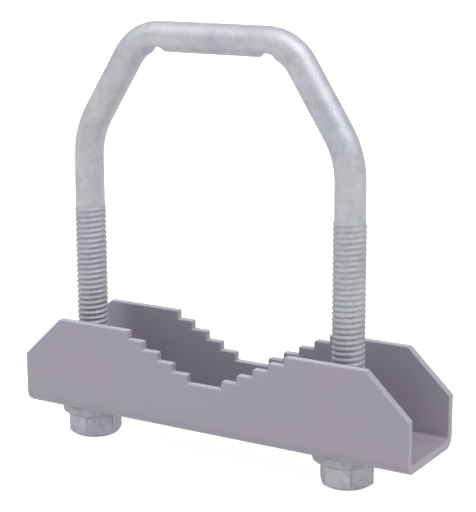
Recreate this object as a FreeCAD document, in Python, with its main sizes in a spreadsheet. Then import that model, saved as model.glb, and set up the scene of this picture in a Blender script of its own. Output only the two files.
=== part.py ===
import FreeCAD, Part
import math
import os
import Sketcher

# Mast U-bolt clamp, in millimetres, +Z up.
# The origin lies on the surface that the clamp stands on, under the middle of the saddle.
# X runs along the saddle, from leg to leg, and Y runs along the mast.
SIZES = {
    # U-bolt: round bar, bent to a flat crown and two sloping shoulders, threads rolled on both legs
    "bar_diameter": 8.75,
    "thread_diameter": 9.525,
    "thread_pitch": 1.5875,
    "left_thread_length": 71.9,
    "right_thread_length": 75.9,
    "leg_spacing": 87.5,
    "crown_height": 122.7,
    "crown_width": 49.6,
    "shoulder_height": 93.1,
    "crown_bend_radius": 13.0,
    "shoulder_bend_radius": 25.0,
    # marks that the bending jig pinches into the underside, at both ends of the crown
    "jig_mark_radius": 2.2,
    "jig_mark_depth": 1.35,
    "jig_mark_inset": 6.7,
    "jig_mark_sweep": 100.0,
    # saddle: one folded sheet, a channel open upwards
    "saddle_overhang": 20.25,
    "saddle_width": 29.0,
    "saddle_height": 27.8,
    "sheet_thickness": 2.5,
    "fold_inside_radius": 1.2,
    "corner_cut_run": 13.0,
    "corner_cut_drop": 12.3,
    "notch_floor_width": 11.4,
    "step_run": 5.1,
    "step_rise": 2.54,
    "step_count": 5,
    "edge_round": 0.6,
    # slots in the saddle's floor, with the U-bolt pushed near one end of them
    "slot_clearance": 1.6,
    "slot_travel": 12.0,
    "slot_end_gap": 0.7,
    # flange nuts
    "nut_across_flats": 14.3,
    "nut_height": 10.8,
    "nut_bevel": 0.6,
    "flange_diameter": 19.8,
    "flange_rim": 3.4,
    "flange_height": 4.2,
    "flange_step": 0.15,
    "flange_rim_bevel": 0.3,
    "bore_clearance": 0.05,
    "bore_bevel": 0.5,
    "left_nut_turn": 46.0,
    "right_nut_turn": 5.5,
}

doc = FreeCAD.newDocument("mast_clamp")
sheet = doc.addObject("Spreadsheet::Sheet", "Sizes")
for row, (name, number) in enumerate(SIZES.items(), start=1):
    sheet.set(f"A{row}", name)
    sheet.set(f"B{row}", str(number))
    sheet.setAlias(f"B{row}", name)
doc.recompute()

# expressions that several pieces share
NUT_TOP = "Sizes.nut_height"
LEG_ACROSS = "Sizes.leg_spacing / 2"
BOLT_SHIFT = "Sizes.slot_end_gap - Sizes.slot_travel / 2"
THREAD_RADIUS = "Sizes.thread_diameter / 2"
THREAD_DEPTH = "(Sizes.thread_diameter - Sizes.bar_diameter) / 2"
SLOT_RADIUS = "(Sizes.thread_diameter + Sizes.slot_clearance) / 2"
SADDLE_END = "(Sizes.leg_spacing / 2 + Sizes.saddle_overhang)"
NUT_CORNER = "Sizes.nut_across_flats / sqrt(3)"


def size(name):
    """The number that the sheet holds under this name."""
    return float(sheet.get(name))


def new_body(label):
    """An empty body, whose label names the piece."""
    body = doc.addObject("PartDesign::Body", label)
    body.Label = label
    return body


def origin_plane(body, role):
    """One of the body's own origin planes."""
    return next(item for item in body.Origin.OriginFeatures if item.Role == role)


def new_sketch(body, name, role):
    """An empty sketch on one of the body's origin planes."""
    sketch = body.newObject("Sketcher::SketchObject", name)
    sketch.AttachmentSupport = [(origin_plane(body, role), "")]
    sketch.MapMode = "FlatFace"
    return sketch


def bind_constraint(sketch, constraint, name, expression):
    """Adds a named constraint that follows an expression."""
    index = sketch.addConstraint(constraint)
    sketch.renameConstraint(index, name)
    sketch.setExpression(f"Constraints.{name}", expression)


def pin(sketch, line, end, point, name, across, up):
    """Holds one point of the sketch at two expressions from the sketch's origin."""
    for axis, value, expression in (("X", point.x, across), ("Y", point.y, up)):
        distance = Sketcher.Constraint(f"Distance{axis}", -1, 1, line, end, value)
        bind_constraint(sketch, distance, f"{name}_{axis}", expression)


def draw_outline(sketch, corners):
    """A closed outline of straight sides. Each corner is a pair of expressions, across and up.

    The corners start on a small ring, and their distances from the origin pull them into place.
    """
    count = len(corners)
    turns = [2 * math.pi * k / count for k in range(count)]
    ring = [FreeCAD.Vector(math.cos(turn), math.sin(turn), 0) for turn in turns]
    for k, start in enumerate(ring):
        sketch.addGeometry(Part.LineSegment(start, ring[(k + 1) % count]), False)
    for k in range(count):
        sketch.addConstraint(Sketcher.Constraint("Coincident", k, 2, (k + 1) % count, 1))
    for k, (across, up) in enumerate(corners):
        pin(sketch, k, 1, ring[k], f"corner{k}", across, up)


def draw_circle(sketch, across, up, radius):
    """A circle that follows three expressions."""
    line = sketch.addGeometry(Part.Circle(FreeCAD.Vector(1, 1, 0), FreeCAD.Vector(0, 0, 1), 1), False)
    pin(sketch, line, 3, FreeCAD.Vector(1, 1, 0), "middle", across, up)
    bind_constraint(sketch, Sketcher.Constraint("Radius", line, 1.0), "radius", radius)


def feature(body, kind, name, sketch):
    """A feature of the body that is made from a sketch."""
    made = body.newObject(f"PartDesign::{kind}", name)
    made.Profile = sketch
    return made


def cut_through(body, name, sketch):
    """A pocket right through the body, both ways from its sketch."""
    pocket = feature(body, "Pocket", name, sketch)
    pocket.SideType = "Symmetric"
    pocket.Type = "ThroughAll"
    return pocket


def mirror_across_middle(body, name, originals):
    """Repeats features on the other side of the body's YZ plane."""
    mirrored = body.newObject("PartDesign::Mirrored", name)
    mirrored.Originals = originals
    mirrored.MirrorPlane = (origin_plane(body, "YZ_Plane"), [""])
    body.Tip = mirrored
    return mirrored


def edges_of(shape, test):
    """Names of the edges that pass a test."""
    return [f"Edge{k}" for k, edge in enumerate(shape.Edges, start=1) if test(edge)]


def round_edges(body, name, test, radius):
    """A fillet on the edges that pass a test."""
    doc.recompute()
    base = body.Tip
    fillet = body.newObject("PartDesign::Fillet", name)
    fillet.Base = (base, edges_of(base.Shape, test))
    fillet.setExpression("Radius", radius)
    return fillet


def runs_along(edge, axis):
    """True for a straight edge that is parallel to an axis."""
    if edge.Curve.TypeId != "Part::GeomLine":
        return False
    return abs(edge.tangentAt(edge.FirstParameter).dot(axis)) > 0.999


# U-bolt
def slope_angle():
    """How far the sloping shoulder leans down from the crown, in radians."""
    across = (size("leg_spacing") - size("crown_width")) / 2
    return math.atan2(size("crown_height") - size("shoulder_height"), across)


def draw_half_centre_line(sketch):
    """The bar's centre line, from the end of the right leg up to the middle of the crown."""
    leg = size("leg_spacing") / 2
    corner = size("crown_width") / 2
    top = size("crown_height")
    slope = slope_angle()
    lower_turn = math.pi / 2 - slope
    lower_radius = size("shoulder_bend_radius")
    upper_radius = size("crown_bend_radius")
    lower_reach = lower_radius * math.tan(lower_turn / 2)
    upper_reach = upper_radius * math.tan(slope / 2)
    down_slope = FreeCAD.Vector(math.cos(slope), -math.sin(slope), 0)
    crown_corner = FreeCAD.Vector(corner, top, 0)
    leg_corner = FreeCAD.Vector(leg, size("shoulder_height"), 0)
    leg_top = leg_corner - FreeCAD.Vector(0, lower_reach, 0)
    slope_foot = leg_corner - down_slope * lower_reach
    slope_head = crown_corner + down_slope * upper_reach
    crown_end = crown_corner - FreeCAD.Vector(upper_reach, 0, 0)
    facing = FreeCAD.Vector(0, 0, 1)
    lower_ring = Part.Circle(leg_top - FreeCAD.Vector(lower_radius, 0, 0), facing, lower_radius)
    upper_ring = Part.Circle(crown_end - FreeCAD.Vector(0, upper_radius, 0), facing, upper_radius)
    leg_line, lower_arc, slope_line, upper_arc, crown_line = sketch.addGeometry(
        [
            Part.LineSegment(FreeCAD.Vector(leg, 0, 0), leg_top),
            Part.ArcOfCircle(lower_ring, 0, lower_turn),
            Part.LineSegment(slope_foot, slope_head),
            Part.ArcOfCircle(upper_ring, lower_turn, math.pi / 2),
            Part.LineSegment(crown_end, FreeCAD.Vector(0, top, 0)),
        ],
        False,
    )
    leg_mark, crown_mark = sketch.addGeometry([Part.Point(leg_corner), Part.Point(crown_corner)], True)
    for first, second in (
        (leg_line, lower_arc),
        (lower_arc, slope_line),
        (slope_line, upper_arc),
        (upper_arc, crown_line),
    ):
        sketch.addConstraint(Sketcher.Constraint("Tangent", first, 2, second, 1))
    for line, mark in (
        (leg_line, leg_mark),
        (slope_line, leg_mark),
        (slope_line, crown_mark),
        (crown_line, crown_mark),
    ):
        sketch.addConstraint(Sketcher.Constraint("PointOnObject", mark, 1, line))
    sketch.addConstraint(Sketcher.Constraint("Horizontal", crown_line))
    sketch.addConstraint(Sketcher.Constraint("PointOnObject", leg_line, 1, -1))
    sketch.addConstraint(Sketcher.Constraint("PointOnObject", crown_line, 2, -2))
    pin(sketch, leg_mark, 1, leg_corner, "leg_corner", LEG_ACROSS, "Sizes.shoulder_height")
    pin(sketch, crown_mark, 1, crown_corner, "crown_corner", "Sizes.crown_width / 2", "Sizes.crown_height")
    sketch.addConstraint(Sketcher.Constraint("Vertical", leg_line))
    for arc, name in ((lower_arc, "shoulder_bend_radius"), (upper_arc, "crown_bend_radius")):
        bind_constraint(sketch, Sketcher.Constraint("Radius", arc, size(name)), name, f"Sizes.{name}")


def sweep_half_bar(body):
    """Half of the bent bar: a round section carried along the centre line."""
    line = new_sketch(body, "bar_centre_line", "XZ_Plane")
    draw_half_centre_line(line)
    section = new_sketch(body, "bar_section", "XY_Plane")
    draw_circle(section, LEG_ACROSS, "0", "Sizes.bar_diameter / 2")
    bar = feature(body, "AdditivePipe", "half_bar", section)
    bar.Spine = (line, [""])
    return bar


def turn_thread(body, side, sign):
    """The rolled thread's outside on one leg, with a bevelled end and a run-out one pitch long."""
    sketch = new_sketch(body, f"{side}_thread_outline", "XZ_Plane")
    axis = f"{sign} * {LEG_ACROSS}"
    outside = f"{sign} * ({LEG_ACROSS} + {THREAD_RADIUS})"
    root = f"{sign} * ({LEG_ACROSS} + Sizes.bar_diameter / 2)"
    length = f"Sizes.{side}_thread_length"
    draw_outline(
        sketch,
        [
            (axis, "0"),
            (root, "0"),
            (outside, THREAD_DEPTH),
            (outside, f"{length} - Sizes.thread_pitch"),
            (root, length),
            (axis, length),
        ],
    )
    leg_line = sketch.addGeometry(
        Part.LineSegment(FreeCAD.Vector(2, 0, 0), FreeCAD.Vector(2, 1, 0)), True
    )
    sketch.addConstraint(Sketcher.Constraint("Coincident", leg_line, 1, 0, 1))
    sketch.addConstraint(Sketcher.Constraint("Coincident", leg_line, 2, 5, 1))
    thread = feature(body, "Revolution", f"{side}_thread", sketch)
    thread.ReferenceAxis = (sketch, ["Axis0"])
    thread.Angle = 360
    return thread


def press_jig_mark(body):
    """The round mark that the jig pinches round the underside of the crown's end."""
    sketch = new_sketch(body, "jig_mark_outline", "XZ_Plane")
    across = "Sizes.crown_width / 2 - Sizes.jig_mark_inset"
    underside = "Sizes.crown_height - Sizes.bar_diameter / 2"
    draw_circle(
        sketch,
        across,
        f"{underside} + Sizes.jig_mark_depth - Sizes.jig_mark_radius",
        "Sizes.jig_mark_radius",
    )
    ends = FreeCAD.Vector(0, 3, 0), FreeCAD.Vector(3, 3, 0)
    crown_line = sketch.addGeometry(Part.LineSegment(*ends), True)
    pin(sketch, crown_line, 1, ends[0], "crown_middle", "0", "Sizes.crown_height")
    pin(sketch, crown_line, 2, ends[1], "crown_end", across, "Sizes.crown_height")
    mark = feature(body, "Groove", "jig_mark", sketch)
    mark.ReferenceAxis = (sketch, ["Axis0"])
    mark.Midplane = True
    mark.setExpression("Angle", "Sizes.jig_mark_sweep")
    return mark


def build_u_bolt():
    """The bent bar, whose right leg has the longer thread."""
    body = new_body("u_bolt")
    mirror_across_middle(body, "other_half", [sweep_half_bar(body), press_jig_mark(body)])
    turn_thread(body, "left", -1)
    turn_thread(body, "right", 1)
    body.setExpression("Placement.Base.x", BOLT_SHIFT)
    return body


# Saddle
def fold_sheet(body):
    """The channel, folded up from flat sheet along two lines."""
    sketch = new_sketch(body, "channel_section", "YZ_Plane")
    outer = "Sizes.saddle_width / 2"
    inner = "(Sizes.saddle_width / 2 - Sizes.sheet_thickness)"
    draw_outline(
        sketch,
        [
            (f"-{outer}", "0"),
            (outer, "0"),
            (outer, "Sizes.saddle_height"),
            (inner, "Sizes.saddle_height"),
            (inner, "Sizes.sheet_thickness"),
            (f"-{inner}", "Sizes.sheet_thickness"),
            (f"-{inner}", "Sizes.saddle_height"),
            (f"-{outer}", "Sizes.saddle_height"),
        ],
    )
    channel = feature(body, "Pad", "channel", sketch)
    channel.SideType = "Symmetric"
    channel.setExpression("Length", f"2 * {SADDLE_END}")
    floor = size("sheet_thickness")
    along = FreeCAD.Vector(1, 0, 0)
    fold_outside = "Sizes.fold_inside_radius + Sizes.sheet_thickness"
    for name, level, radius in (
        ("fold_inside", floor, "Sizes.fold_inside_radius"),
        ("fold_outside", 0, fold_outside),
    ):
        round_edges(
            body,
            name,
            lambda edge, level=level: runs_along(edge, along)
            and abs(edge.CenterOfMass.z - level) < floor / 4,
            radius,
        )
    return channel


def step_edges():
    """Where the notch's steps turn a corner, as (across, up) expressions from the notch floor up.

    Each step has a riser, at its distance from the middle, and then a tread.
    """
    corners = []
    for k in range(int(size("step_count"))):
        riser = f"Sizes.notch_floor_width / 2 + {k} * Sizes.step_run"
        foot = f"Sizes.saddle_height - (Sizes.step_count - {k}) * Sizes.step_rise"
        head = f"Sizes.saddle_height - (Sizes.step_count - {k + 1}) * Sizes.step_rise"
        corners += [(riser, foot), (riser, head)]
    return corners


def punch_half_notch(body):
    """The stepped notch through both flanges, right side, cut a little past the middle."""
    sketch = new_sketch(body, "notch_outline", "XZ_Plane")
    steps = step_edges()
    past_middle = "-Sizes.notch_floor_width / 4"
    above = "Sizes.saddle_height + Sizes.step_rise"
    last_riser = steps[-1][0]
    draw_outline(
        sketch,
        [(past_middle, steps[0][1])] + steps[:-1] + [(last_riser, above), (past_middle, above)],
    )
    return cut_through(body, "stepped_notch", sketch)


def crop_corner(body):
    """The slanting cut at the end of both flanges."""
    sketch = new_sketch(body, "corner_outline", "XZ_Plane")
    start = f"{SADDLE_END} - Sizes.corner_cut_run"
    foot = "Sizes.saddle_height - Sizes.corner_cut_drop"
    slope = "Sizes.corner_cut_drop / Sizes.corner_cut_run"
    draw_outline(
        sketch,
        [
            (f"{start} - Sizes.corner_cut_run", f"Sizes.saddle_height + Sizes.corner_cut_run * {slope}"),
            (f"{SADDLE_END} + Sizes.corner_cut_run", f"{foot} - Sizes.corner_cut_run * {slope}"),
            (f"{SADDLE_END} + Sizes.corner_cut_run", "Sizes.saddle_height + Sizes.corner_cut_drop"),
        ],
    )
    return cut_through(body, "corner_cut", sketch)


def punch_slot(body):
    """The oblong hole that lets a leg through the floor and lets the U-bolt shift along the saddle."""
    sketch = new_sketch(body, "slot_outline", "XY_Plane")
    radius = 1.0
    centres = (FreeCAD.Vector(5, 0, 0), FreeCAD.Vector(1, 0, 0))
    facing = FreeCAD.Vector(0, 0, 1)
    rise = FreeCAD.Vector(0, radius, 0)
    outer_arc, inner_arc, far_side, near_side = sketch.addGeometry(
        [
            Part.ArcOfCircle(Part.Circle(centres[0], facing, radius), -math.pi / 2, math.pi / 2),
            Part.ArcOfCircle(Part.Circle(centres[1], facing, radius), math.pi / 2, 3 * math.pi / 2),
            Part.LineSegment(centres[0] + rise, centres[1] + rise),
            Part.LineSegment(centres[1] - rise, centres[0] - rise),
        ],
        False,
    )
    for first, second in (
        (outer_arc, far_side),
        (far_side, inner_arc),
        (inner_arc, near_side),
        (near_side, outer_arc),
    ):
        sketch.addConstraint(Sketcher.Constraint("Tangent", first, 2, second, 1))
    sketch.addConstraint(Sketcher.Constraint("Equal", outer_arc, inner_arc))
    for arc, centre, name, sign in (
        (outer_arc, centres[0], "outer_centre", "+"),
        (inner_arc, centres[1], "inner_centre", "-"),
    ):
        across = f"{LEG_ACROSS} {sign} Sizes.slot_travel / 2"
        distance = Sketcher.Constraint("DistanceX", -1, 1, arc, 3, centre.x)
        bind_constraint(sketch, distance, name, across)
        sketch.addConstraint(Sketcher.Constraint("PointOnObject", arc, 3, -1))
    bind_constraint(sketch, Sketcher.Constraint("Radius", outer_arc, radius), "radius", SLOT_RADIUS)
    return cut_through(body, "leg_slot", sketch)


def is_free_corner(edge):
    """True for the flange edges where two cut lines meet at an outward corner."""
    across_sheet = FreeCAD.Vector(0, 1, 0)
    if not runs_along(edge, across_sheet):
        return False
    middle = edge.CenterOfMass
    distance = abs(middle.x)
    half_floor = size("notch_floor_width") / 2
    top = size("saddle_height")
    near = size("edge_round") / 4
    count = int(size("step_count"))
    heads = [
        (half_floor + k * size("step_run"), top - (count - k - 1) * size("step_rise"))
        for k in range(count)
    ]
    end = size("leg_spacing") / 2 + size("saddle_overhang")
    cut_ends = [
        (end - size("corner_cut_run"), top),
        (end, top - size("corner_cut_drop")),
    ]
    return any(abs(distance - x) < near and abs(middle.z - z) < near for x, z in heads + cut_ends)


def build_saddle():
    """The folded and punched sheet, with the corners of its cut edges rounded."""
    body = new_body("saddle")
    fold_sheet(body)
    features = [punch_half_notch(body), crop_corner(body), punch_slot(body)]
    mirror_across_middle(body, "other_end", features)
    round_edges(body, "soft_corners", is_free_corner, "Sizes.edge_round")
    body.setExpression("Placement.Base.z", NUT_TOP)
    return body


# Flange nuts
def forge_hexagon(body):
    """The nut's six flats, from its free end up into the flange."""
    sketch = new_sketch(body, "hexagon_outline", "XY_Plane")
    draw_outline(
        sketch,
        [(f"{NUT_CORNER} * cos({60 * k})", f"{NUT_CORNER} * sin({60 * k})") for k in range(6)],
    )
    hexagon = feature(body, "Pad", "hexagon", sketch)
    hexagon.setExpression("Length", "Sizes.nut_height - Sizes.flange_rim")
    return hexagon


def forge_flange(body):
    """The flange: a rim that bears on the saddle, and a cone down to just outside the hexagon's corners."""
    sketch = new_sketch(body, "flange_outline", "XZ_Plane")
    foot = f"{NUT_CORNER} + Sizes.flange_step"
    rim = "Sizes.flange_diameter / 2"
    rim_foot = "Sizes.nut_height - Sizes.flange_rim"
    draw_outline(
        sketch,
        [
            ("0", "Sizes.nut_height - Sizes.flange_height"),
            (foot, "Sizes.nut_height - Sizes.flange_height"),
            (f"{rim} - Sizes.flange_rim_bevel", rim_foot),
            (rim, f"{rim_foot} + Sizes.flange_rim_bevel"),
            (rim, "Sizes.nut_height - Sizes.flange_rim_bevel"),
            (f"{rim} - Sizes.flange_rim_bevel", "Sizes.nut_height"),
            ("0", "Sizes.nut_height"),
        ],
    )
    flange = feature(body, "Revolution", "flange", sketch)
    flange.ReferenceAxis = (sketch, ["V_Axis"])
    flange.Angle = 360
    return flange


def bevel_hexagon(body):
    """The cone that takes the sharp corners off the hexagon's free end."""
    sketch = new_sketch(body, "bevel_outline", "XZ_Plane")
    foot = "Sizes.nut_across_flats / 2 - Sizes.nut_bevel"
    beyond = "Sizes.nut_across_flats"
    draw_outline(
        sketch,
        [
            (foot, "0"),
            (foot, "-Sizes.nut_bevel"),
            (beyond, "-Sizes.nut_bevel"),
            (beyond, f"({beyond} - {foot}) * tan(30)"),
        ],
    )
    bevel = feature(body, "Groove", "hexagon_bevel", sketch)
    bevel.ReferenceAxis = (sketch, ["V_Axis"])
    bevel.Angle = 360
    return bevel


def bore_nut(body):
    """The bore, at the thread's outside with a running clearance, bevelled at the free end."""
    sketch = new_sketch(body, "bore_outline", "XZ_Plane")
    bore = f"{THREAD_RADIUS} + Sizes.bore_clearance"
    mouth = f"{bore} + Sizes.bore_bevel"
    beyond = "Sizes.nut_height + Sizes.bore_bevel"
    draw_outline(
        sketch,
        [
            ("0", "0"),
            (mouth, "0"),
            (bore, "Sizes.bore_bevel"),
            (bore, beyond),
            ("0", beyond),
        ],
    )
    hole = feature(body, "Groove", "bore", sketch)
    hole.ReferenceAxis = (sketch, ["V_Axis"])
    hole.Angle = 360
    return hole


def build_flange_nut(label, leg_sign, turn):
    """One nut, on the leg to this side, turned about its leg."""
    body = new_body(label)
    forge_hexagon(body)
    forge_flange(body)
    bevel_hexagon(body)
    bore_nut(body)
    body.setExpression("Placement.Base.x", f"{BOLT_SHIFT} {leg_sign} {LEG_ACROSS}")
    body.setExpression("Placement.Rotation.Angle", f"Sizes.{turn}")
    return body


pieces = [
    build_u_bolt(),
    build_saddle(),
    build_flange_nut("flange_nut_left", "-", "left_nut_turn"),
    build_flange_nut("flange_nut_right", "+", "right_nut_turn"),
]
doc.recompute()

for item in doc.Objects:
    if "Invalid" in item.State or "Error" in item.State:
        raise RuntimeError(f"{item.Name} failed to build: {item.State}")
    if item.TypeId == "Sketcher::SketchObject" and not item.FullyConstrained:
        raise RuntimeError(f"{item.Name} leaves something free to move")
os.makedirs("parts", exist_ok=True)
for piece in pieces:
    shape = piece.Shape
    if shape.isNull() or not shape.isValid() or len(shape.Solids) != 1:
        raise RuntimeError(f"{piece.Label} is not one valid solid")
    shape.exportStep(f"parts/{piece.Label}.step")
    box = shape.optimalBoundingBox()
    print(
        f"{piece.Label}: {shape.Volume:.0f} mm3,",
        f"x {box.XMin:.2f} to {box.XMax:.2f},",
        f"y {box.YMin:.2f} to {box.YMax:.2f},",
        f"z {box.ZMin:.2f} to {box.ZMax:.2f}",
    )
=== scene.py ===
# %% [markdown]
# A mast U-bolt clamp: a bent and threaded bar, a folded saddle with a stepped notch and two
# flange nuts. The construction is already made, at its real size, so this lesson loads it and
# dresses it.
# Everything is in metres, and the clamp stands on the floor at height 0, on the ends of its legs.

# %% Load the construction
import math

import bmesh
import bpy
import numpy as np
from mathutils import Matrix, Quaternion, Vector, noise


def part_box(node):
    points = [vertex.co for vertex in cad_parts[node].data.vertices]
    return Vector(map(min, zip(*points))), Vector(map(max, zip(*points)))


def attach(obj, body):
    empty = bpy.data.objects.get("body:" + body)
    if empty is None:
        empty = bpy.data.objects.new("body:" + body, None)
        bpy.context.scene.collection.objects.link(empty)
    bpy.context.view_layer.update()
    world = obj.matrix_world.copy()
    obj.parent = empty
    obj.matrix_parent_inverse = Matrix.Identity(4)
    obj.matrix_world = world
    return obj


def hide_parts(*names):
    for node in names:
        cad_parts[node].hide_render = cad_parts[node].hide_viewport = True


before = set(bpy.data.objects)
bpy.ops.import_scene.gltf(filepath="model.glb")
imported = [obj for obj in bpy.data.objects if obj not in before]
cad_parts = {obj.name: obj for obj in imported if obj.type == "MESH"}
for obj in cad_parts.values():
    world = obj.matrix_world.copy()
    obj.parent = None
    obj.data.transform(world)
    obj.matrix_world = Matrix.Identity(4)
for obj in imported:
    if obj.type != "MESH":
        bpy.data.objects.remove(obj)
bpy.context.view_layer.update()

MM = 0.001
print("pieces:", sorted(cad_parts))

# %% [markdown]
# The photograph was taken from the front right, a little above the saddle, with a long lens.
# A camera is placed by its angles round a point of the clamp, because angles are easy to check
# against the photograph: the saddle's ends, the crown and both nuts have to fall on their places.
# The lens is as long as the photograph's, so the near end of the saddle is only a little larger.

# %% Camera
IMAGE_WIDTH = 476
IMAGE_HEIGHT = 512
SENSOR_WIDTH = 36.0
FOCAL_PIXELS = 1574.55
CAMERA_AZIMUTH = math.radians(31.31)
CAMERA_ELEVATION = math.radians(12.97)
CAMERA_ROLL = math.radians(-0.21)
CAMERA_DISTANCE = 449.2 * MM
CAMERA_TARGET = Vector((2.77, 0.0, 61.42)) * MM


def place_camera():
    """The camera at the photograph's angle, looking at the middle of the clamp."""
    camera = bpy.data.objects.new("camera", bpy.data.cameras.new("camera"))
    bpy.context.scene.collection.objects.link(camera)
    back = Vector(
        (
            math.sin(CAMERA_AZIMUTH) * math.cos(CAMERA_ELEVATION),
            -math.cos(CAMERA_AZIMUTH) * math.cos(CAMERA_ELEVATION),
            math.sin(CAMERA_ELEVATION),
        )
    )
    camera.location = CAMERA_TARGET + back * CAMERA_DISTANCE
    camera.rotation_mode = "QUATERNION"
    roll = Quaternion((0, 0, 1), CAMERA_ROLL)
    camera.rotation_quaternion = (-back).to_track_quat("-Z", "Y") @ roll
    camera.data.sensor_width = SENSOR_WIDTH
    camera.data.lens = FOCAL_PIXELS * SENSOR_WIDTH / max(IMAGE_WIDTH, IMAGE_HEIGHT)
    bpy.context.scene.camera = camera
    return camera


camera = place_camera()
print("camera at", [round(v, 3) for v in camera.location], "lens", round(camera.data.lens, 1))

# %% [markdown]
# What the construction already holds is read from it, and not typed again: where the legs stand,
# how high the crown is, how thick the thread is, and where the nuts sit. A dressed piece then
# fits its neighbours. Only the plain bar's radius is hidden by the thread in the bar's box.

# %% Measures of the construction
BAR_RADIUS = 4.375 * MM

bolt_low, bolt_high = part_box("u_bolt")
left_low, left_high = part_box("flange_nut_left")
right_low, right_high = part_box("flange_nut_right")
LEFT_LEG = (left_low.x + left_high.x) / 2
RIGHT_LEG = (right_low.x + right_high.x) / 2
CROWN_HEIGHT = bolt_high.z - BAR_RADIUS
THREAD_RADIUS = (bolt_high.y - bolt_low.y) / 2
NUT_HEIGHT = left_high.z
FLANGE_RADIUS = (left_high.x - left_low.x) / 2
print("legs at x", round(LEFT_LEG / MM, 2), round(RIGHT_LEG / MM, 2), "mm")

# %% [markdown]
# Molten zinc leaves nothing sharp. Two surfaces that meet could be joined first and rounded with
# a bevel, but here a surface is a distance from an axis, so the smaller or the larger of two
# distances is taken and rounded over where they meet. No modifier is needed.


# %% Soft blends
def smooth_step(low, high, value):
    """0 below low, 1 above high, and an even curve between them."""
    share = np.clip((value - low) / (high - low), 0, 1)
    return share * share * (3 - 2 * share)


def soft_max(a, b, blend):
    """The larger of two values, rounded over where they meet."""
    overlap = np.clip(blend - np.abs(a - b), 0, None)
    return np.maximum(a, b) + overlap * overlap / (4 * blend)


def soft_min(a, b, blend):
    """The smaller of two values, rounded over where they meet."""
    return -soft_max(-a, -b, blend)


print("two flats at 1, blended over 0.4, meet at", round(float(soft_min(1.0, 1.0, 0.4)), 2))

# %% [markdown]
# Zinc also sets in low lumps. They could be sculpted, or come from a displacement texture. Here
# they are a noise that is read at each point's place, so they are the same each time, and they
# can go into the same sum as the thread.

# %% Zinc lumps
SEED_SHIFT = (11.3, 5.7, 3.1)


def lumps(points, width, seed):
    """Smooth random height from 0 to 1 at each point, about one lump to each width."""
    shift = Vector([seed * way for way in SEED_SHIFT])
    flat = points.reshape(-1, 3) / width
    heights = [noise.noise(Vector(p) + shift) for p in flat]
    return (np.clip(np.array(heights), -1, 1) * 0.5 + 0.5).reshape(points.shape[:-1])


along_edge = np.outer(np.arange(4), [0.4, 0.0, 0.0]) * MM
print("lumps along an edge:", lumps(along_edge, MM, 1).round(2))

# %% [markdown]
# The bar and the nuts are both skinned over rings of points, as a lathe or a drawing die would
# shape them. Each point can also carry a value for oxide, dark lines and painted shade. The
# zinc's material reads it, so the dark valleys need no texture picture.


# %% Makers of pieces
def link_mesh(name, mesh, body):
    """Makes a piece of a mesh. It rides on its body."""
    piece = bpy.data.objects.new(name, mesh)
    bpy.context.scene.collection.objects.link(piece)
    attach(piece, body)
    return piece


def edit_mesh(mesh, change):
    """Lets a function change the mesh while it is open for editing, then smooths its faces."""
    builder = bmesh.new()
    builder.from_mesh(mesh)
    change(builder)
    builder.to_mesh(mesh)
    builder.free()
    mesh.polygons.foreach_set("use_smooth", [True] * len(mesh.polygons))


def turn_faces_out(builder):
    """Makes every face look outwards."""
    bmesh.ops.recalc_face_normals(builder, faces=builder.faces)


def skin_rings(name, rings, stain_and_shade):
    """A closed mesh over rings of points. Both ends are closed with a flat face.

    rings has the shape (rows, points, 3), and the last argument has one value for each point: its
    oxide, dark lines and painted shade.
    """
    rows, count = rings.shape[:2]
    index = np.arange(rows * count).reshape(rows, count)
    after = np.roll(index, -1, axis=1)
    quads = np.stack([index[:-1], after[:-1], after[1:], index[1:]], axis=-1).reshape(-1, 4)
    faces = quads.tolist() + [index[0, ::-1].tolist(), index[-1].tolist()]
    mesh = bpy.data.meshes.new(name)
    mesh.from_pydata(rings.reshape(-1, 3).tolist(), [], faces)
    attribute = mesh.attributes.new("stain_and_shade", "FLOAT", "POINT")
    attribute.data.foreach_set("value", stain_and_shade.astype(np.float32).ravel())
    edit_mesh(mesh, turn_faces_out)
    return mesh


# %% [markdown]
# The U-bolt's bar is bent at four places, and each bend is an arc of its own radius.
# A curve with a bevel could give the plain bar, but not the thread. So the bar is made of rings
# along its centre line, and one function says how far each point lies from that line.
# The centre line is walked as one would bend it: straight, turn, straight, turn, and so on.

# %% Runs and bends of the bar
CROWN_WIDTH = 49.6 * MM
SHOULDER_HEIGHT = 93.1 * MM
CROWN_BEND_RADIUS = 13.0 * MM
SHOULDER_BEND_RADIUS = 25.0 * MM

across = (RIGHT_LEG - LEFT_LEG - CROWN_WIDTH) / 2
slope = math.atan2(CROWN_HEIGHT - SHOULDER_HEIGHT, across)
shoulder_turn = math.pi / 2 - slope
shoulder_reach = SHOULDER_BEND_RADIUS * math.tan(shoulder_turn / 2)
crown_reach = CROWN_BEND_RADIUS * math.tan(slope / 2)
leg_run = SHOULDER_HEIGHT - shoulder_reach
slope_run = math.hypot(across, CROWN_HEIGHT - SHOULDER_HEIGHT) - shoulder_reach - crown_reach
crown_run = CROWN_WIDTH - 2 * crown_reach
# each run is a length and the radius of its bend, or None where it is straight
half_way = [
    (leg_run, None),
    (SHOULDER_BEND_RADIUS * shoulder_turn, SHOULDER_BEND_RADIUS),
    (slope_run, None),
    (CROWN_BEND_RADIUS * slope, CROWN_BEND_RADIUS),
]
BAR_RUNS = half_way + [(crown_run, None)] + half_way[::-1]
BAR_LENGTH = sum(run for run, _ in BAR_RUNS)
print("bar:", round(BAR_LENGTH / MM, 1), "mm long, slope", round(math.degrees(slope), 1), "degrees")

# %% Walk along the bar
TINY = 1e-9


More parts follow.
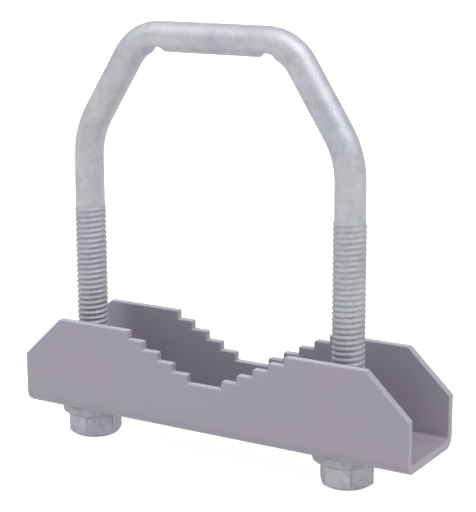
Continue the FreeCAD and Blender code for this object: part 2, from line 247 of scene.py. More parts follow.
def walk_bar(distances):
    """Place and heading at each distance from the left leg's end.

    A heading is the angle up from +X.
    """
    places = np.zeros((len(distances), 2))
    headings = np.zeros(len(distances))
    place = np.array([LEFT_LEG, 0.0])
    heading = math.pi / 2
    walked = 0.0
    for run, radius in BAR_RUNS:
        here = (distances >= walked - TINY) & (distances <= walked + run + TINY)
        gone = distances[here] - walked
        if radius is None:
            ahead = np.array([math.cos(heading), math.sin(heading)])
            places[here] = place + gone[:, None] * ahead
            headings[here] = heading
            place = place + run * ahead
        else:
            centre = place + radius * np.array([math.sin(heading), -math.cos(heading)])
            angles = heading - gone / radius
            places[here] = centre + radius * np.stack([-np.sin(angles), np.cos(angles)], axis=1)
            headings[here] = angles
            heading -= run / radius
            place = centre + radius * np.array([-math.sin(heading), math.cos(heading)])
        walked += run
    return places, headings


far_end = walk_bar(np.array([BAR_LENGTH]))[0][0]
print("the walk ends at", (far_end / MM).round(2), "mm, on the right leg's end")

# %% [markdown]
# The thread is rolled into the bar, and then the whole U-bolt is dipped in molten zinc.
# Zinc rounds the crests and fills the valleys, most of all in the last turns below the plain bar.
# A thread could be a screw modifier on a small profile. Here it is part of the bar's own surface:
# a right-hand thread climbs as it turns anticlockwise, seen from above, so a point's place on the
# thread is its height in pitches less its turn round the leg. It has no seam and no loose edge.

# %% Shape of the thread
THREAD_PITCH = 1.5875 * MM
LEFT_THREAD_LENGTH = 71.9 * MM
RIGHT_THREAD_LENGTH = 75.9 * MM
LEFT_VALLEY_RADIUS = 4.0 * MM
RIGHT_VALLEY_RADIUS = 4.25 * MM
FILLED_VALLEY_RADIUS = 4.3 * MM
FILL_DEPTH = 7 * MM
CREST_FLAT = 0.16
VALLEY_FLAT = 0.04
FLANK_SWELL = 0.15
END_BEVEL_RADIUS = 3.9 * MM
RUN_OUT = 1.2 * THREAD_PITCH
THREAD_WANDER = 0.10
VALLEY_LUMP = 0.26 * MM
CREST_LUMP = 0.12 * MM


def flank_height(height, turn, lump):
    """How high a point lies on the thread's profile: 0 in the valley, 1 on the crest."""
    turns = height / THREAD_PITCH - turn / (2 * math.pi) + THREAD_WANDER * lump
    rise = 1 - np.abs(2 * (turns - np.floor(turns)) - 1)
    flank = np.clip((rise - VALLEY_FLAT) / (1 - VALLEY_FLAT - CREST_FLAT), 0, 1)
    return (1 - FLANK_SWELL) * flank + FLANK_SWELL * np.sin(flank * math.pi / 2)


def threaded_radius(height, flank, lump, thread_length, valley_radius):
    """Distance of the thread's surface from the leg's axis.

    lump is a random value from 0 to 1: how much zinc hangs in the valley and is lost off the crest.
    """
    filled = smooth_step(thread_length - FILL_DEPTH, thread_length, height)
    valley = valley_radius + filled * (FILLED_VALLEY_RADIUS - valley_radius) + VALLEY_LUMP * lump
    radius = valley + flank * (THREAD_RADIUS - CREST_LUMP * lump - valley)
    radius = np.minimum(radius, END_BEVEL_RADIUS + height)
    run_out = smooth_step(thread_length - RUN_OUT, thread_length, height)
    return radius + run_out * (BAR_RADIUS - radius)


print("thread:", round(2 * THREAD_RADIUS / THREAD_PITCH, 2), "pitches thick outside")

# %% [markdown]
# Oxide stays in the valleys, and shade is painted over the flanks and valleys of the thread, with
# the crests left paler as painted light. Each leg has its own contrast of this painted shade. The
# shade of each point is worked out from the same profile as its shape, so pale lines and dark
# valleys always lie on the real thread.

# %% Shade of the thread
FLANK_SHADE = 0.5
# contrast of the painted shade on each leg
LEFT_RELIEF = 0.45
RIGHT_RELIEF = 0.3
CREST_LINE = 0.78
CREST_PAINTED_LIGHT = 1.2
CREST_COVER = 0.7
VALLEY_NARROW = 4
FILLED_COVER = 0.5
LUMP_COVER = 0.4


def threaded_shade(height, flank, lump, thread_length, relief):
    """Oxide and painted shade: least on the crests, most in the valleys. relief is the contrast."""
    filled = smooth_step(thread_length - FILL_DEPTH, thread_length, height)
    run_out = smooth_step(thread_length - RUN_OUT, thread_length, height)
    # painted light keeps the crests paler; painted shade darkens the flanks and valleys
    crest = smooth_step(CREST_LINE, 1, flank) * (CREST_PAINTED_LIGHT - CREST_COVER * lump)
    depth = (1 - flank) ** VALLEY_NARROW * (1 - FILLED_COVER * filled) * (1 - LUMP_COVER * lump)
    shade = FLANK_SHADE + relief * ((1 - FLANK_SHADE) * depth - FLANK_SHADE * crest)
    return shade * (1 - run_out)


valley_and_crest = np.array([0.0, 1.0])
shades = threaded_shade(0.0, valley_and_crest, 0.5, LEFT_THREAD_LENGTH, LEFT_RELIEF)
print("shade of a valley and of a crest:", shades.round(2))

# %% [markdown]
# The jig that bends the bar pinches a round mark into its underside, at both ends of the crown.
# A boolean cut would leave knife edges that zinc never has. Here every point of the underside
# that would lie outside the pinched neck is drawn in to it, with the edge blended over.
# Towards the middle of the crown the mark runs out on a gentler slope.

# %% Jig marks
MARK_RADIUS = 2.2 * MM
MARK_DEPTH = 1.35 * MM
MARK_INSET = 6.7 * MM
MARK_EDGE = 0.3 * MM
MARK_RAMP = 1.3
MARK_WALL = 1.45
MARK_SHADE_WIDTH = 0.2 * MM
MARK_HALF_SWEEP = math.radians(50.0)
MARK_FADE = math.radians(10.0)
CROWN_MIDDLE = (LEFT_LEG + RIGHT_LEG) / 2


def press_mark(points, side):
    """Draws the crown's underside in round one mark. side is -1 for the left one.

    It also gives how near each point is to the mark's edge, where shade is painted.
    """
    across = CROWN_MIDDLE + side * (CROWN_WIDTH / 2 - MARK_INSET)
    outward = (points[..., 0] - across) * side
    along = np.where(outward < 0, outward / MARK_RAMP, outward / MARK_WALL)
    aside = points[..., 1]
    up = points[..., 2] - CROWN_HEIGHT
    distance = np.hypot(aside, up)
    from_below = np.arctan2(np.abs(aside), -up)
    hollow = np.sqrt(np.clip(MARK_RADIUS**2 - along**2, 0, None))
    fade = smooth_step(MARK_HALF_SWEEP - MARK_FADE, MARK_HALF_SWEEP + MARK_FADE, from_below)
    neck = BAR_RADIUS - MARK_DEPTH + MARK_RADIUS - hollow + fade * 2 * MARK_DEPTH
    near = (np.abs(along) < MARK_RADIUS) & (distance < 2 * BAR_RADIUS)
    drawn = soft_min(distance, neck, MARK_EDGE) / np.maximum(distance, TINY)
    scale = np.where(near, drawn, 1.0)
    points[..., 1] = aside * scale
    points[..., 2] = CROWN_HEIGHT + up * scale
    return points, near * np.exp(-(((neck - distance) / MARK_SHADE_WIDTH) ** 2))


print("marks:", round((CROWN_WIDTH / 2 - MARK_INSET) / MM, 1), "mm from the crown's middle")

# %% [markdown]
# The rings lie close together on the threads, eleven to a pitch, and wider apart on the plain
# bar, where nothing needs them. All of the bar is one mesh, as it is one piece of steel.

# %% Rings along the bar
ROUND_POINTS = 56
THREAD_ROWS = 11
PLAIN_STEP = 0.4 * MM


def bar_distances():
    """Rows along the bar: close together on the threads, wider on the plain bar."""
    thread_step = THREAD_PITCH / THREAD_ROWS
    left = np.arange(0, LEFT_THREAD_LENGTH + thread_step, thread_step)
    right = BAR_LENGTH - np.arange(0, RIGHT_THREAD_LENGTH + thread_step, thread_step)[::-1]
    plain_count = int((right[0] - left[-1]) / PLAIN_STEP)
    plain = np.linspace(left[-1], right[0], plain_count)
    return np.concatenate([left[:-1], plain, right[1:]])


def bar_spokes(distances):
    """The middle of each ring, and the directions from there to the ring's points."""
    places, headings = walk_bar(distances)
    around = np.linspace(0, 2 * math.pi, ROUND_POINTS, endpoint=False)
    outward = np.stack([-np.sin(headings), np.zeros_like(headings), np.cos(headings)], axis=1)
    sideways = np.array([0.0, 1.0, 0.0])
    spokes = (
        np.cos(around)[None, :, None] * outward[:, None, :]
        + np.sin(around)[None, :, None] * sideways
    )
    centres = np.stack([places[:, 0], np.zeros(len(places)), places[:, 1]], axis=1)
    return centres[:, None, :], spokes


print("rings:", len(bar_distances()))

# %% U-bolt
ZINC_LUMP = 0.05 * MM
# each layer of lumps has a width, a share of the height and a seed
ZINC_LAYERS = ((3.0 * MM, 0.6, 1), (1.1 * MM, 0.4, 2))
THREAD_LUMP_WIDTH = 1.0 * MM
THREAD_SEED = 3
MARK_SHADE_SHARE = 0.6


def build_u_bolt():
    """The bent bar with both threads and both marks, as one mesh."""
    distances = bar_distances()
    centres, spokes = bar_spokes(distances)
    surface = centres + spokes * BAR_RADIUS
    zinc = sum(lumps(surface, width, seed) * share for width, share, seed in ZINC_LAYERS)
    lump = lumps(surface, THREAD_LUMP_WIDTH, THREAD_SEED)
    radius = BAR_RADIUS - ZINC_LUMP * zinc
    stain_and_shade = np.zeros_like(radius)
    turn = np.arctan2(spokes[..., 1], spokes[..., 0])
    for along, length, valley_radius, relief in (
        (distances, LEFT_THREAD_LENGTH, LEFT_VALLEY_RADIUS, LEFT_RELIEF),
        (BAR_LENGTH - distances, RIGHT_THREAD_LENGTH, RIGHT_VALLEY_RADIUS, RIGHT_RELIEF),
    ):
        leg = along <= length
        height = np.broadcast_to(along[leg, None], radius[leg].shape)
        flank = flank_height(height, turn[leg], lump[leg])
        radius[leg] = threaded_radius(height, flank, lump[leg], length, valley_radius)
        # painted shade over the thread, with oxide in its valleys
        stain_and_shade[leg] = threaded_shade(height, flank, lump[leg], length, relief)
    rings = centres + spokes * radius[..., None]
    for side in (-1, 1):
        rings, painted_shade = press_mark(rings, side)
        # painted shade along the rim of each mark
        stain_and_shade = np.maximum(stain_and_shade, MARK_SHADE_SHARE * painted_shade)
    mesh = skin_rings("u_bolt_bar", rings, stain_and_shade)
    piece = link_mesh("u_bolt_bar", mesh, "u_bolt")
    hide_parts("u_bolt")
    return piece


u_bolt_bar = build_u_bolt()
print("U-bolt:", len(u_bolt_bar.data.polygons), "faces")

# %% [markdown]
# The saddle is punched from flat sheet, folded along two lines and powder coated.
# The coat flows round every cut edge, and that soft edge is what catches the light.
# It could be modelled again as a channel with its steps cut out. But the construction has the
# exact outline, so its mesh is copied, its flat faces are joined into single faces, and a narrow
# bevel rounds each sharp edge. Weighted normals keep the large faces flat.

# %% Saddle
COAT_EDGE = 0.45 * MM
COAT_EDGE_STEPS = 3
WELD_DISTANCE = 1e-6
FLAT_ANGLE = math.radians(1.0)
SHARP_ANGLE = math.radians(35.0)


def join_flat_faces(builder):
    """Welds the loose corners of the copied mesh and joins the faces that lie in one plane."""
    bmesh.ops.remove_doubles(builder, verts=builder.verts, dist=WELD_DISTANCE)
    bmesh.ops.dissolve_limit(
        builder, angle_limit=FLAT_ANGLE, verts=builder.verts, edges=builder.edges
    )


def build_saddle():
    """The folded sheet, with its coat's soft edges."""
    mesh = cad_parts["saddle"].data.copy()
    mesh.materials.clear()
    edit_mesh(mesh, join_flat_faces)
    piece = link_mesh("saddle_sheet", mesh, "saddle")
    edge = piece.modifiers.new("soft_edge", "BEVEL")
    edge.width = COAT_EDGE
    edge.segments = COAT_EDGE_STEPS
    edge.limit_method = "ANGLE"
    edge.angle_limit = SHARP_ANGLE
    edge.use_clamp_overlap = False
    normals = piece.modifiers.new("flat_faces", "WEIGHTED_NORMAL")
    normals.keep_sharp = False
    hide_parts("saddle")
    return piece


saddle_sheet = build_saddle()
print("saddle:", len(saddle_sheet.data.polygons), "faces before its bevel")

# %% [markdown]
# A flange nut is forged: a hexagon that flares into a round flange. Dipped in zinc, its corners
# are round and its faces a little uneven. A cylinder with six sides and a cone could be joined,
# but the step between them would be sharp. Seen along its axis, each point of the side lies at
# one distance from the middle, so the side is made of rings again. The hexagon, the bevel at its
# free end and the cone of the flange are three distances, joined by the soft blends.

# %% Outline of a nut
NUT_FLATS = 14.3 * MM
NUT_BEVEL = 0.6 * MM
NUT_BEVEL_ANGLE = math.radians(30)
NUT_BEVEL_BLEND = 0.25 * MM
NUT_CORNER_BLEND = 0.4 * MM
NUT_CORNER_LOSS = NUT_CORNER_BLEND / 6
FLANGE_HEIGHT = 4.2 * MM
FLANGE_RIM = 3.4 * MM
FLANGE_STEP = 0.15 * MM
RIM_BEVEL = 0.3 * MM
RIM_BLEND = 0.3 * MM
SIXTH = math.pi / 3
FLANGE_FOOT = NUT_HEIGHT - FLANGE_HEIGHT


def hexagon_radius(around, turn):
    """Distance from the middle to the hexagon's flats, with soft corners."""
    off_flat = np.mod(around - turn, SIXTH) - SIXTH / 2
    flats = NUT_FLATS / 2 / np.cos(off_flat)
    corner = np.full_like(flats, NUT_FLATS / 2 / math.cos(SIXTH / 2) - NUT_CORNER_LOSS)
    return soft_min(flats, corner, NUT_CORNER_BLEND)


def nut_side(height, around, turn):
    """Distance from the middle to the nut's side at a height above its free end."""
    bevel = NUT_FLATS / 2 - NUT_BEVEL + height / math.tan(NUT_BEVEL_ANGLE)
    hexagon = soft_min(hexagon_radius(around, turn), bevel, NUT_BEVEL_BLEND)
    foot_radius = NUT_FLATS / math.sqrt(3) + FLANGE_STEP
    steepness = (FLANGE_RADIUS - RIM_BEVEL - foot_radius) / (FLANGE_HEIGHT - FLANGE_RIM)
    cone = foot_radius + (height - FLANGE_FOOT) * steepness
    rim = FLANGE_RADIUS - np.clip(height - (NUT_HEIGHT - RIM_BEVEL), 0, None)
    flange = soft_min(cone, rim, RIM_BLEND)
    return np.where(height < FLANGE_FOOT, hexagon, flange)


print("nut:", round(NUT_FLATS / MM, 1), "mm across flats,", round(NUT_HEIGHT / MM, 1), "mm high")

# %% [markdown]
# Each corner of a nut has a thin dark line. Shade is painted on the flange, darkest at its foot
# and at its top, where the saddle shades it, and on the free end where it stands on the floor.
# These marks follow the nut's own measures, so they turn and climb with it.

# %% Dark lines and painted shade on a nut
DARK_LINE_WIDTH = 0.22 * MM
CORNER_DARK_LINE = 0.7
END_LINE = 2.4 * DARK_LINE_WIDTH
FLANGE_PAINTED_SHADE = 0.3
TOP_PAINTED_SHADE = 0.9
TOP_LINE = 1.3 * MM


def fading_line(distance, width):
    """1 on a line, and less and less with the distance from it."""
    return np.exp(-((distance / width) ** 2))


def nut_dark_lines_and_shade(height, around, turn):
    """Thin dark lines on the corners, and painted shade on the free end and the flange.

    On the flange the painted shade is darkest at its foot and at its top.
    """
    off_corner = np.mod(around - turn + SIXTH / 2, SIXTH) - SIXTH / 2
    corner = fading_line(off_corner * FLANGE_RADIUS, DARK_LINE_WIDTH) * (height < FLANGE_FOOT)
    # painted shade at the flange's foot, at its top under the saddle, on the free end and over the
    # flange
    foot = fading_line(height - FLANGE_FOOT, DARK_LINE_WIDTH)
    top = fading_line(np.clip(NUT_HEIGHT - height, 0, None), TOP_LINE)
    end = fading_line(height, END_LINE)
    flange = (height >= FLANGE_FOOT) * FLANGE_PAINTED_SHADE
    return np.max([corner * CORNER_DARK_LINE, foot, top * TOP_PAINTED_SHADE, end, flange], axis=0)


print("stain at a flat's middle:", float(nut_dark_lines_and_shade(FLANGE_FOOT / 2, SIXTH / 2, 0.0).round(2)))

# %% [markdown]
# A bore could be cut with a boolean, but that leaves long thin faces. Here the rings run up the
# nut's side from its free end and then down its bore, so the top face comes by itself. Only the
# free end's face is missing, and it is bridged between the side's first ring and the bore's last.

# %% Flange nuts
NUT_POINTS = 360
NUT_ROWS = 36
FOOT_GAP = 1e-6
BORE_GAP = 0.05 * MM
BORE_BEVEL = 0.5 * MM
NUT_LUMP = 0.10 * MM
NUT_LUMP_WIDTH = 1.6 * MM
NUT_SEED = 4
NUT_EDGE_ANGLE = math.radians(40)
LEFT_NUT_TURN = math.radians(46.0)
RIGHT_NUT_TURN = math.radians(5.5)
UPWARDS = np.array([0, 0, 1.0])


def nut_rings(leg, turn):
    """The rings of a nut: up its side from the free end, then down its bore."""
    around = np.linspace(0, 2 * math.pi, NUT_POINTS, endpoint=False)
    below = np.linspace(0, FLANGE_FOOT - FOOT_GAP, NUT_ROWS)
    above = np.linspace(FLANGE_FOOT + FOOT_GAP, NUT_HEIGHT, NUT_ROWS)
    height, angle = np.meshgrid(np.concatenate([below, above]), around, indexing="ij")
    spokes = np.stack([np.cos(angle), np.sin(angle), np.zeros_like(angle)], axis=-1)
    middle = np.array([leg, 0.0, 0.0])
    rise = height[..., None] * UPWARDS
    radius = nut_side(height, angle, turn)
    lump = lumps(middle + spokes * radius[..., None] + rise, NUT_LUMP_WIDTH, NUT_SEED)
    side = middle + spokes * (radius - NUT_LUMP * lump)[..., None] + rise
    bore = THREAD_RADIUS + BORE_GAP
    bore_steps = ((bore, NUT_HEIGHT), (bore, BORE_BEVEL), (bore + BORE_BEVEL, 0.0))
    inside = [middle + spokes[0] * reach + level * UPWARDS for reach, level in bore_steps]
    rings = np.concatenate([side, np.array(inside)])
    return rings, nut_dark_lines_and_shade(rings[..., 2], np.broadcast_to(around, rings.shape[:2]), turn)


def open_bore(builder):
    """Takes away the two end faces and joins the side's free end to the bore's."""
    ends = [face for face in builder.faces if len(face.verts) > 4]
    edges = list({edge for face in ends for edge in face.edges})
    bmesh.ops.delete(builder, geom=ends, context="FACES_ONLY")
    bmesh.ops.bridge_loops(builder, edges=edges)
    turn_faces_out(builder)


def build_nut(name, node, body, leg, turn):
    """One nut on its leg, turned about it."""
    mesh = skin_rings(name, *nut_rings(leg, turn))
    edit_mesh(mesh, open_bore)
    mesh.set_sharp_from_angle(angle=NUT_EDGE_ANGLE)
    piece = link_mesh(name, mesh, body)
    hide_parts(node)
    return piece


nuts = [
    build_nut("left_nut_forging", "flange_nut_left", "left_nut", LEFT_LEG, LEFT_NUT_TURN),
    build_nut("right_nut_forging", "flange_nut_right", "right_nut", RIGHT_LEG, RIGHT_NUT_TURN),
]
print("nuts:", [len(nut.data.polygons) for nut in nuts], "faces")

# %% [markdown]
# A finish is built of nodes. An effect that several finishes share is a node group, built once
# and placed in each of them with its own values. The helpers here make a group with named
# sockets, place a group, and write sums and blends of colours in one line each.


# %% Node helpers
def new_group(name, inputs, outputs):
    """An empty node group with named value or colour sockets."""
    tree = bpy.data.node_groups.new(name, "ShaderNodeTree")
    for label, kind, default in inputs:
        socket = tree.interface.new_socket(label, in_out="INPUT", socket_type=f"NodeSocket{kind}")
        socket.default_value = default
    for label, kind in outputs:
        tree.interface.new_socket(label, in_out="OUTPUT", socket_type=f"NodeSocket{kind}")
    return tree, tree.nodes.new("NodeGroupInput"), tree.nodes.new("NodeGroupOutput")


def place_group(tree, group, **values):
    """A copy of a group in a material, with its own values. It gives the group's mask."""
    node = tree.nodes.new("ShaderNodeGroup")
    node.node_tree = group
    for label, value in values.items():
        node.inputs[label].default_value = value
    return node.outputs["Mask"]


def set_inputs(tree, sockets, values):
    """Gives each socket a value of its own, or links it to the socket that is given."""
    for socket, value in zip(sockets, values):
        if isinstance(value, bpy.types.NodeSocket):
            tree.links.new(value, socket)
        else:
            socket.default_value = value


def math_node(tree, operation, first, second):
    """A math node. Each input is a number or a socket."""
    node = tree.nodes.new("ShaderNodeMath")
    node.operation = operation
    set_inputs(tree, node.inputs, (first, second))
    return node.outputs[0]


def mix_colours(tree, factor, first, second):
    """A colour between two. Each input is a number, a colour or a socket."""
    node = tree.nodes.new("ShaderNodeMix")
    node.data_type = "RGBA"
    set_inputs(tree, (node.inputs[0], node.inputs[6], node.inputs[7]), (factor, first, second))
    return node.outputs[2]


def new_finish(name, metallic):
    """A new material with its node tree and its shader."""
    material = bpy.data.materials.new(name)
    material.use_nodes = True
    shader = material.node_tree.nodes["Principled BSDF"]
    shader.inputs["Metallic"].default_value = metallic
    return material, material.node_tree, shader


def add_bump(tree, shader, mask, strength, depth):
    """Fine relief that only the light sees, for what is much finer than the mesh."""
    bump = tree.nodes.new("ShaderNodeBump")
    bump.inputs["Strength"].default_value = strength
    bump.inputs["Distance"].default_value = depth
    tree.links.new(mask, bump.inputs["Height"])
    tree.links.new(bump.outputs["Normal"], shader.inputs["Normal"])


# %% [markdown]
# "soft patches" gives a slow, cloudy mask, as where zinc cooled unevenly or a coat went on
# thicker. The zinc and the coat both use it, at other sizes. It could be a painted picture, but
# it reads the place on the clamp instead, so it needs no unwrapping and has no seams.


# %% Group of soft patches
def make_soft_patches():
    """A cloudy mask. Size is how many clouds fit in a metre, Low and High are where it turns."""
    tree, start, end = new_group(
        "soft patches",
        [("Size", "Float", 100.0), ("Low", "Float", 0.4), ("High", "Float", 0.6)],
        [("Mask", "Float")],
    )
    place = tree.nodes.new("ShaderNodeTexCoord")
    cloud = tree.nodes.new("ShaderNodeTexNoise")
    cloud.inputs["Detail"].default_value = 4.0
    cloud.inputs["Roughness"].default_value = 0.6
    spread = tree.nodes.new("ShaderNodeMapRange")
    tree.links.new(place.outputs["Object"], cloud.inputs["Vector"])
    tree.links.new(start.outputs["Size"], cloud.inputs["Scale"])
    tree.links.new(cloud.outputs["Fac"], spread.inputs["Value"])
    tree.links.new(start.outputs["Low"], spread.inputs["From Min"])
    tree.links.new(start.outputs["High"], spread.inputs["From Max"])
    tree.links.new(spread.outputs["Result"], end.inputs["Mask"])
    return tree


soft_patches = make_soft_patches()
print("group:", soft_patches.name)

# %% [markdown]
# Zinc sets in flat crystals, called spangle, and each crystal has a tone of its own. Cells of a
# Voronoi texture are such crystals. Their straight edges look too neat, so the place is bent a
# little by a noise before the cells read it.

# %% Group of zinc spangle
WANDER_SCALE = 500.0


def make_spangle():
    """One random tone for each crystal.

    Size is how many crystals fit in a metre, and Wander is how far their edges are bent.
    """
    tree, start, end = new_group(
        "zinc spangle",
        [("Size", "Float", 300.0), ("Wander", "Float", 0.004)],
        [("Mask", "Float")],
    )
    place = tree.nodes.new("ShaderNodeTexCoord")
    wander = tree.nodes.new("ShaderNodeTexNoise")
    wander.inputs["Scale"].default_value = WANDER_SCALE
    bend = tree.nodes.new("ShaderNodeVectorMath")
    bend.operation = "MULTIPLY_ADD"
    crystals = tree.nodes.new("ShaderNodeTexVoronoi")
    tone = tree.nodes.new("ShaderNodeSeparateColor")
    tree.links.new(place.outputs["Object"], wander.inputs["Vector"])
    tree.links.new(wander.outputs["Color"], bend.inputs[0])
    tree.links.new(start.outputs["Wander"], bend.inputs[1])
    tree.links.new(place.outputs["Object"], bend.inputs[2])
    tree.links.new(bend.outputs["Vector"], crystals.inputs["Vector"])
    tree.links.new(start.outputs["Size"], crystals.inputs["Scale"])
    tree.links.new(crystals.outputs["Color"], tone.inputs["Color"])
    tree.links.new(tone.outputs["Red"], end.inputs["Mask"])
    return tree


zinc_spangle = make_spangle()
print("group:", zinc_spangle.name)

# %% [markdown]
# Hot-dip zinc is a matt, light grey skin with a faint spangle, bluish clouds, small dark pits, and
# darker oxide, dark lines and painted shade where each point's value says so. It is half way
# between a metal and a chalky oxide, and so is its Metallic value. One function makes the finish,
# and each piece has its own tones: the nuts are a little pinker than the bar, more pitted, and
# take their painted shade at full strength. Flecks break the oxide and painted shade up, because
# oxide never fills a valley evenly.

# %% Galvanised finish
ZINC_SPANGLE = (0.70, 0.70, 0.74, 1.0)
# the dark colour of the pits and of the painted shade
ZINC_PIT_AND_SHADE = (0.24, 0.22, 0.27, 1.0)
ZINC_ROUGHNESS = 0.42
TINT_SHARE = 0.6
SPANGLE_SHARE = 0.3
STAIN_AND_SHADE_EVEN = 0.6
STAIN_AND_SHADE_FLECKS = 0.7
SPANGLE_ROUGHNESS = 0.10
CREASE_ROUGHNESS = 0.3
ZINC_RELIEF = 0.4
ZINC_RELIEF_DEPTH = 0.1 * MM


def zinc_tone(tree, tones, spangle, pitting):
    """The colour of clean zinc, with its clouds, tints, crystals and pits."""
    clouds = place_group(tree, soft_patches, Size=130.0, Low=0.38, High=0.66)
    tints = place_group(tree, soft_patches, Size=55.0, Low=0.5, High=0.72)
    pits = place_group(tree, soft_patches, Size=700.0, Low=0.52, High=0.72)
    light, dark, bluish = tones
    tone = mix_colours(tree, clouds, light, dark)
    tone = mix_colours(tree, math_node(tree, "MULTIPLY", tints, TINT_SHARE), tone, bluish)
    lighter = math_node(tree, "MULTIPLY", spangle, SPANGLE_SHARE)
    tone = mix_colours(tree, lighter, tone, ZINC_SPANGLE)
    return mix_colours(tree, math_node(tree, "MULTIPLY", pits, pitting), tone, ZINC_PIT_AND_SHADE)


def stain_and_shade_mask(tree, stain_and_shade, share):
    """Where stains and painted shade darken the zinc, broken up by flecks."""
    flecks = place_group(tree, soft_patches, Size=900.0, Low=0.42, High=0.6)
    broken = math_node(tree, "ADD", math_node(tree, "MULTIPLY", flecks, STAIN_AND_SHADE_FLECKS), STAIN_AND_SHADE_EVEN)
    return math_node(tree, "MULTIPLY", math_node(tree, "MULTIPLY", stain_and_shade, share), broken)


def make_galvanised(name, tones, metallic, stain_and_shade_share, pitting):
    """A zinc finish. tones are its light, dark and bluish colour."""
    material, tree, shader = new_finish(name, metallic)
    spangle = place_group(tree, zinc_spangle, Size=600.0, Wander=0.0015)
    fine = place_group(tree, soft_patches, Size=1500.0, Low=0.3, High=0.7)
    reader = tree.nodes.new("ShaderNodeAttribute")
    reader.attribute_name = "stain_and_shade"
    stain_and_shade = reader.outputs["Fac"]
    tone = zinc_tone(tree, tones, spangle, pitting)
    # oxide, dark lines and painted shade darken the zinc where each point's value says so
    tone = mix_colours(tree, stain_and_shade_mask(tree, stain_and_shade, stain_and_shade_share), tone, ZINC_PIT_AND_SHADE)
    tree.links.new(tone, shader.inputs["Base Color"])
    rough = math_node(tree, "MULTIPLY", spangle, SPANGLE_ROUGHNESS)
    dull = math_node(tree, "MULTIPLY", stain_and_shade, CREASE_ROUGHNESS)
    rough = math_node(tree, "ADD", math_node(tree, "ADD", rough, dull), ZINC_ROUGHNESS)
    tree.links.new(rough, shader.inputs["Roughness"])
    add_bump(tree, shader, fine, ZINC_RELIEF + pitting, ZINC_RELIEF_DEPTH)
    return material


# %% Zinc of the bar and of the nuts
BAR_ZINC = ((0.56, 0.56, 0.60, 1.0), (0.46, 0.46, 0.51, 1.0), (0.43, 0.49, 0.54, 1.0))
BAR_METALLIC = 0.55
BAR_STAIN_AND_SHADE = 0.48
BAR_PITTING = 0.1
NUT_ZINC = ((0.63, 0.605, 0.66, 1.0), (0.52, 0.50, 0.56, 1.0), (0.50, 0.51, 0.58, 1.0))
NUT_METALLIC = 0.5
NUT_STAIN_AND_SHADE = 1.0
NUT_PITTING = 0.45

galvanised_bar = make_galvanised("galvanised bar", BAR_ZINC, BAR_METALLIC, BAR_STAIN_AND_SHADE, BAR_PITTING)
galvanised_nut = make_galvanised("galvanised nut", NUT_ZINC, NUT_METALLIC, NUT_STAIN_AND_SHADE, NUT_PITTING)
u_bolt_bar.data.materials.append(galvanised_bar)
for nut in nuts:
    nut.data.materials.append(galvanised_nut)
print("zinc:", galvanised_bar.name, "and", galvanised_nut.name)

# %% [markdown]
# The upper cut edges of the sheet are painted paler, as painted light from above. The edges could
# be picked face by face, but the bevel makes new faces on them. The group finds them by the way
# they face, straight up, and leaves out what lies below a given height, which is the channel's
# floor.


# %% Group of painted light on upper faces
def make_painted_top_light():
    """Painted light: 1 where the surface faces up, above the height Above. Narrow keeps it to level
    faces.
    """
    tree, start, end = new_group(
        "painted top light",
        [("Above", "Float", 0.0), ("Narrow", "Float", 5.0)],
        [("Mask", "Float")],
    )
    place = tree.nodes.new("ShaderNodeTexCoord")
    facing = tree.nodes.new("ShaderNodeSeparateXYZ")
    height = tree.nodes.new("ShaderNodeSeparateXYZ")
    tree.links.new(place.outputs["Normal"], facing.inputs["Vector"])
    tree.links.new(place.outputs["Object"], height.inputs["Vector"])
    up = math_node(tree, "MAXIMUM", facing.outputs["Z"], 0.0)
    up = math_node(tree, "POWER", up, start.outputs["Narrow"])
    raised = math_node(tree, "GREATER_THAN", height.outputs["Z"], start.outputs["Above"])
    tree.links.new(math_node(tree, "MULTIPLY", up, raised), end.inputs["Mask"])
    return tree


painted_top_light = make_painted_top_light()
print("group:", painted_top_light.name)

# %% [markdown]
# The saddle's coat is a satin grey powder with a slight mauve tint. It is not metallic.
# Powder melts into a skin with a fine, even ripple, and some places show a little pinker.
# One rough layer would look like chalk, and one smooth layer like wet paint. So a clear outer
# layer in the shader gives the skin's soft gloss over the rougher colour.

# %% Powder coat
COAT_GREY = (0.306, 0.291, 0.341, 1.0)
COAT_PINK = (0.322, 0.283, 0.335, 1.0)
# painted light: the paler tone of the upper faces
COAT_PAINTED_LIGHT = (0.47, 0.46, 0.51, 1.0)
CHANNEL_FLOOR = 20 * MM
COAT_ROUGHNESS = 0.45
RIPPLE_ROUGHNESS = 0.08
RIPPLE_RELIEF = 0.15
RIPPLE_DEPTH = 0.08 * MM
CLEAR_LAYER = 0.6
CLEAR_ROUGHNESS = 0.2


def make_coat():
    """The saddle's finish."""
    material, tree, shader = new_finish("powder coat", 0.0)
    tints = place_group(tree, soft_patches, Size=45.0, Low=0.45, High=0.7)
    ripple = place_group(tree, soft_patches, Size=1100.0, Low=0.3, High=0.7)
    edges = place_group(tree, painted_top_light, Above=CHANNEL_FLOOR)
    tone = mix_colours(tree, tints, COAT_GREY, COAT_PINK)
    # painted light on the upper faces of the sheet
    tone = mix_colours(tree, edges, tone, COAT_PAINTED_LIGHT)
    tree.links.new(tone, shader.inputs["Base Color"])
    rough = math_node(tree, "MULTIPLY", ripple, RIPPLE_ROUGHNESS)
    rough = math_node(tree, "ADD", rough, COAT_ROUGHNESS)
    tree.links.new(rough, shader.inputs["Roughness"])
    shader.inputs["Coat Weight"].default_value = CLEAR_LAYER
    shader.inputs["Coat Roughness"].default_value = CLEAR_ROUGHNESS
    add_bump(tree, shader, ripple, RIPPLE_RELIEF, RIPPLE_DEPTH)
    return material


saddle_sheet.data.materials.append(make_coat())
print("coat:", saddle_sheet.data.materials[0].name)

# %% [markdown]
# The clamp stands on a plain white sweep. A white floor could be lit until it comes out white,
# but then the clamp would be too bright. As in a studio, the sweep has light of its own, so that
# it comes out white without a hard shadow, and it looks brighter to the camera than it is.

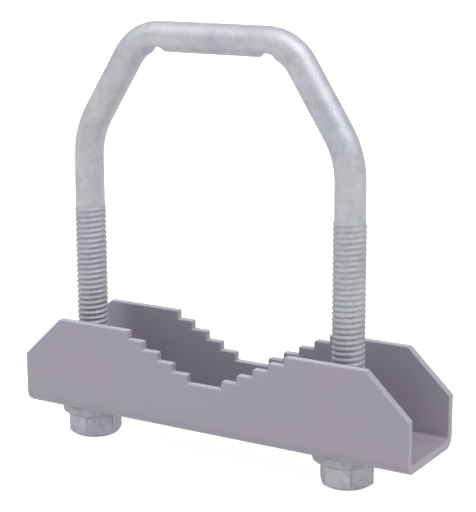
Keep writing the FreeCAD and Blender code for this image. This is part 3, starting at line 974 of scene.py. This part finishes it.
# %% Floor
FLOOR_SIZE = 12.0
FLOOR_WHITE = (0.45, 0.45, 0.45, 1.0)
FLOOR_ROUGHNESS = 0.9
FLOOR_GLOSS = 0.1
FLOOR_GLOW_WHITE = (1.0, 1.0, 1.0, 1.0)
FLOOR_GLOW = 0.34
FLOOR_GLOW_TO_CAMERA = 0.50


def make_floor_white():
    """The sweep's finish."""
    material, tree, shader = new_finish("white floor", 0.0)
    shader.inputs["Base Color"].default_value = FLOOR_WHITE
    shader.inputs["Roughness"].default_value = FLOOR_ROUGHNESS
    shader.inputs["Specular IOR Level"].default_value = FLOOR_GLOSS
    shader.inputs["Emission Color"].default_value = FLOOR_GLOW_WHITE
    path = tree.nodes.new("ShaderNodeLightPath")
    glow = math_node(tree, "MULTIPLY", path.outputs["Is Camera Ray"], FLOOR_GLOW_TO_CAMERA)
    glow = math_node(tree, "ADD", glow, FLOOR_GLOW)
    tree.links.new(glow, shader.inputs["Emission Strength"])
    return material


def build_floor():
    """One large square at height 0."""
    mesh = bpy.data.meshes.new("floor")
    half = FLOOR_SIZE / 2
    corners = [(-half, -half, 0), (half, -half, 0), (half, half, 0), (-half, half, 0)]
    mesh.from_pydata(corners, [], [(0, 1, 2, 3)])
    floor = bpy.data.objects.new("floor", mesh)
    bpy.context.scene.collection.objects.link(floor)
    mesh.materials.append(make_floor_white())
    return floor


floor = build_floor()
print("floor:", FLOOR_SIZE, "m square")

# %% [markdown]
# Three very wide lights shine from far away, so they light the whole floor alike and no shadow
# has a hard edge. The left one draws the bright band along the crown, the stronger right one
# draws the light patch on the right shoulder, and the top one lifts the crown's upper side.
# A square soft box stands near, in front on the left, where the photograph's saddle is a little
# lighter. It isn't mirrored in the metal, because its square edge would show there.

# %% Lights
NEAR_PLACE = Vector((-0.34, -0.40, 0.15))
NEAR_SIZE = 0.5
NEAR_POWER = 0.45
# each wide light: name, where it shines from, strength and how wide it looks
WIDE_LIGHTS = (
    ("left_light", Vector((-0.56, -0.43, 0.71)), 0.50, math.radians(45.0)),
    ("right_light", Vector((0.57, -0.13, 0.79)), 1.46, math.radians(52.0)),
    ("top_light", Vector((-0.03, -0.18, 0.98)), 0.52, math.radians(38.0)),
)


def hang_light(light, place):
    """Hangs a light at a place and turns it to the middle of the floor."""
    lamp = bpy.data.objects.new(light.name, light)
    bpy.context.scene.collection.objects.link(lamp)
    lamp.location = place
    lamp.rotation_mode = "QUATERNION"
    lamp.rotation_quaternion = place.to_track_quat("Z", "Y")
    return lamp


def add_near_light():
    """The square soft box."""
    light = bpy.data.lights.new("front_light", "AREA")
    light.energy = NEAR_POWER
    light.size = NEAR_SIZE
    hang_light(light, NEAR_PLACE).visible_glossy = False


def add_wide_light(name, side, strength, spread):
    """One wide light from far away."""
    light = bpy.data.lights.new(name, "SUN")
    light.energy = strength
    light.angle = spread
    hang_light(light, side)


add_near_light()
for wide_light in WIDE_LIGHTS:
    add_wide_light(*wide_light)
print("lights:", sorted(light.name for light in bpy.data.lights))

# %% [markdown]
# A plain, nearly white world fills the shadows from all sides. The view transform is the plain
# one, so that a colour in the file is the colour in the picture.

# %% World
WORLD_COLOUR = (0.98, 0.98, 1.0, 1.0)
WORLD_STRENGTH = 0.575

world = bpy.data.worlds.new("studio")
world.use_nodes = True
world.node_tree.nodes["Background"].inputs["Color"].default_value = WORLD_COLOUR
world.node_tree.nodes["Background"].inputs["Strength"].default_value = WORLD_STRENGTH
bpy.context.scene.world = world
bpy.context.scene.view_settings.view_transform = "Standard"
print("world strength:", WORLD_STRENGTH)
